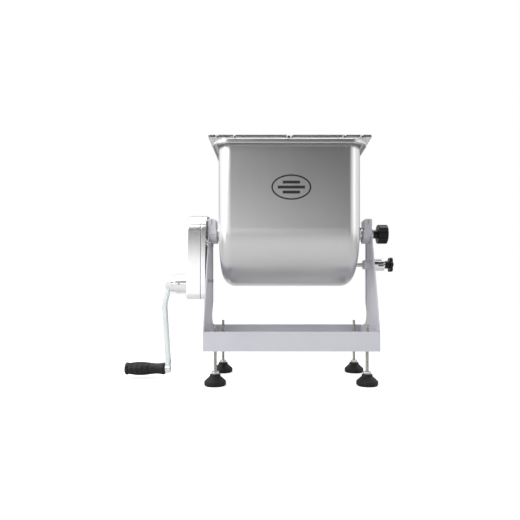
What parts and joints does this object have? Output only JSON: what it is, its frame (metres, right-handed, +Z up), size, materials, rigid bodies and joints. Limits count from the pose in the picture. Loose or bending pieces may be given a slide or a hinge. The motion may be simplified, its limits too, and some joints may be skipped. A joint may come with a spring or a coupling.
{
  "type": "manual tilting meat mixer",
  "caption": "Hand-cranked trough mixer: stainless tilting trough with a clear lid on a painted stand, geared side crank, index plunger and levelling feet.",
  "frame": {"origin": "centre of the overall box at the underside of the feet, on the surface the machine stands on", "axes": "+X from the crank side to the knob side, along the trough; +Y from front to back; +Z up"},
  "size_m": [0.662, 0.294, 0.5554],
  "materials": {
    "frame_paint": "light grey baked paint, satin",
    "tank_steel": "brushed stainless",
    "lid_clear": "clear polycarbonate sheet",
    "fastener_steel": "bright zinc",
    "shaft_steel": "turned stainless",
    "gear_steel": "oiled hobbed steel",
    "casing_aluminium": "polished casting",
    "bronze": "sintered bronze",
    "seal_rubber": "moulded nitrile",
    "crank_zinc": "pale zinc plate",
    "grip_plastic": "moulded black, ribbed",
    "knob_plastic": "moulded black",
    "housing_chrome": "bright plated",
    "foot_rubber": "moulded black rubber",
    "stud_nickel": "nickel plated thread"
  },
  "bodies": {
    "base": {"base_frame": "frame_paint", "foot_corner_plates": "frame_paint", "frame_nuts": "fastener_steel", "left_upright": "frame_paint", "right_upright": "frame_paint", "upright_bolts": "fastener_steel", "left_bearing_saddle": "frame_paint", "right_bearing_saddle": "frame_paint", "left_bearing_cap": "frame_paint", "right_bearing_cap": "frame_paint", "bearing_cap_screws": "fastener_steel", "bearing_bushes": "bronze", "gearbox_back_plate": "casing_aluminium", "gearbox_gasket": "seal_rubber", "gearbox_cover": "casing_aluminium", "gearbox_cover_screws": "fastener_steel", "gearbox_mount_screws": "fastener_steel", "paddle_shaft_bush": "bronze", "crank_shaft_bush": "bronze", "oil_screw": "fastener_steel", "idler_axle": "shaft_steel", "end_plate": "shaft_steel", "end_plate_screws": "fastener_steel", "plunger_bush": "frame_paint", "plunger_housing": "housing_chrome", "plunger_spring": "shaft_steel"},
    "tank": {"tank_shell": "tank_steel", "left_trunnion": "tank_steel", "right_trunnion": "tank_steel", "trunnion_screws": "fastener_steel", "trunnion_nuts": "fastener_steel", "shaft_seals": "seal_rubber", "index_lugs": "tank_steel"},
    "lid": {"lid_plate": "lid_clear"},
    "paddle": {"paddle_shaft": "shaft_steel", "paddle_arms": "shaft_steel", "paddle_blades": "shaft_steel", "main_gear": "gear_steel", "main_gear_key": "shaft_steel"},
    "idler": {"idler_wheel": "gear_steel", "idler_pinion": "gear_steel"},
    "crank": {"crank_shaft": "shaft_steel", "crank_pinion": "gear_steel", "crank_arm": "crank_zinc", "crank_screw": "fastener_steel", "grip_pin": "shaft_steel"},
    "grip": {"grip": "grip_plastic"},
    "clamp_knob": {"clamp_knob": "knob_plastic", "clamp_knob_stud": "shaft_steel"},
    "plunger": {"plunger_pin": "shaft_steel", "plunger_cross_pin": "shaft_steel", "plunger_knob": "knob_plastic"},
    "front_left_foot": {"front_left_foot_pad": "foot_rubber", "front_left_foot_stud": "stud_nickel"},
    "front_right_foot": {"front_right_foot_pad": "foot_rubber", "front_right_foot_stud": "stud_nickel"},
    "rear_left_foot": {"rear_left_foot_pad": "foot_rubber", "rear_left_foot_stud": "stud_nickel"},
    "rear_right_foot": {"rear_right_foot_pad": "foot_rubber", "rear_right_foot_stud": "stud_nickel"}
  },
  "joints": [
    {"name": "tank_tilt", "type": "hinge", "parent": "base", "child": "tank", "pos_m": [0.0714, 0, 0.358], "axis": [1, 0, 0], "range_deg": [0, 90]},
    {"name": "lid_lift", "type": "slide", "parent": "tank", "child": "lid", "axis": [0, 0, 1], "range_m": [0, 0.12]},
    {"name": "paddle_spin", "type": "hinge", "parent": "base", "child": "paddle", "pos_m": [-0.1456, 0, 0.358], "axis": [1, 0, 0], "continuous": true},
    {"name": "idler_spin", "type": "hinge", "parent": "base", "child": "idler", "pos_m": [-0.1516, 0, 0.294], "axis": [1, 0, 0], "continuous": true},
    {"name": "crank_spin", "type": "hinge", "parent": "base", "child": "crank", "pos_m": [-0.1836, 0, 0.235], "axis": [1, 0, 0], "continuous": true},
    {"name": "grip_spin", "type": "hinge", "parent": "crank", "child": "grip", "pos_m": [-0.2836, 0, 0.0243], "axis": [1, 0, 0], "continuous": true},
    {"name": "clamp_knob_turn", "type": "hinge", "parent": "base", "child": "clamp_knob", "pos_m": [0.3064, 0, 0.358], "axis": [1, 0, 0], "range_deg": [0, 720]},
    {"name": "plunger_slide", "type": "slide", "parent": "base", "child": "plunger", "axis": [1, 0, 0], "range_m": [-0.006, 0], "deforming": ["plunger_spring"]},
    {"name": "front_left_foot_screw", "type": "slide", "parent": "base", "child": "front_left_foot", "axis": [0, 0, 1], "range_m": [-0.03, 0.03]},
    {"name": "front_right_foot_screw", "type": "slide", "parent": "base", "child": "front_right_foot", "axis": [0, 0, 1], "range_m": [-0.03, 0.03]},
    {"name": "rear_left_foot_screw", "type": "slide", "parent": "base", "child": "rear_left_foot", "axis": [0, 0, 1], "range_m": [-0.03, 0.03]},
    {"name": "rear_right_foot_screw", "type": "slide", "parent": "base", "child": "rear_right_foot", "axis": [0, 0, 1], "range_m": [-0.03, 0.03]}
  ],
  "couplings": [
    {"joint": "idler_spin", "follows": "paddle_spin", "ratio": -1.2857},
    {"joint": "crank_spin", "follows": "paddle_spin", "ratio": 3.1765}
  ]
}
